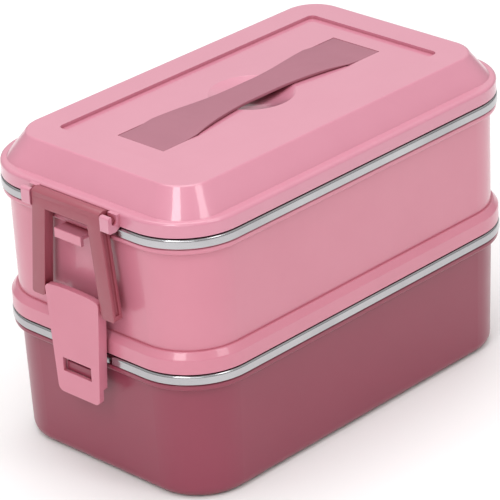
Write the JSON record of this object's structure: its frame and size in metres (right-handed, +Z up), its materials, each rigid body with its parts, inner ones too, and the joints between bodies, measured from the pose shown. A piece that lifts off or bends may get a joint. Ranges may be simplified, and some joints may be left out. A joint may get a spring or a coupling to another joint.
{
  "type": "bento lunch box",
  "caption": "Stacked lunch box with steel-lined trays, a strap-handled lid and swing latches that clamp lid and trays together.",
  "frame": {"origin": "centre of the base, on the surface that the box stands on", "axes": "+X along the length, through both latches; +Y across the width; +Z up"},
  "size_m": [0.2008, 0.1144, 0.1267],
  "materials": {
    "lower_plastic": "glossy dusky mauve polypropylene",
    "upper_plastic": "glossy light pink polypropylene",
    "lid_plastic": "satin to glossy light pink polypropylene",
    "steel": "fine brushed stainless steel",
    "seal": "translucent white silicone",
    "inner_plastic": "satin pink polypropylene",
    "strap": "satin dusky mauve soft plastic",
    "latch_frame": "glossy dusky mauve plastic",
    "latch_lever": "glossy light pink plastic"
  },
  "bodies": {
    "lower_tier": {"lower_shell": "lower_plastic", "lower_liner": "steel"},
    "upper_tier": {"upper_shell": "upper_plastic", "upper_liner": "steel", "tier_gasket": "seal"},
    "lid": {"lid_shell": "lid_plastic", "lid_inner_panel": "inner_plastic", "lid_gasket": "seal", "strap_handle": "strap", "strap_retainers": "inner_plastic"},
    "left_frame": {"left_latch_frame": "latch_frame"},
    "right_frame": {"right_latch_frame": "latch_frame"},
    "left_lever": {"left_latch_lever": "latch_lever"},
    "right_lever": {"right_latch_lever": "latch_lever"}
  },
  "joints": [
    {"name": "tier_lift", "type": "slide", "parent": "lower_tier", "child": "upper_tier", "axis": [0, 0, 1], "range_m": [0, 0.06]},
    {"name": "lid_lift", "type": "slide", "parent": "upper_tier", "child": "lid", "axis": [0, 0, 1], "range_m": [0, 0.018]},
    {"name": "left_frame_swing", "type": "hinge", "parent": "lid", "child": "left_frame", "pos_m": [-0.0974, 0, 0.1133], "axis": [0, 1, 0], "range_deg": [0, 150]},
    {"name": "left_lever_flip", "type": "hinge", "parent": "left_frame", "child": "left_lever", "pos_m": [-0.0979, 0, 0.0758], "axis": [0, 1, 0], "range_deg": [0, 120]},
    {"name": "right_frame_swing", "type": "hinge", "parent": "lid", "child": "right_frame", "pos_m": [0.0974, 0, 0.1133], "axis": [0, -1, 0], "range_deg": [0, 150]},
    {"name": "right_lever_flip", "type": "hinge", "parent": "right_frame", "child": "right_lever", "pos_m": [0.0979, 0, 0.0758], "axis": [0, -1, 0], "range_deg": [0, 120]}
  ]
}
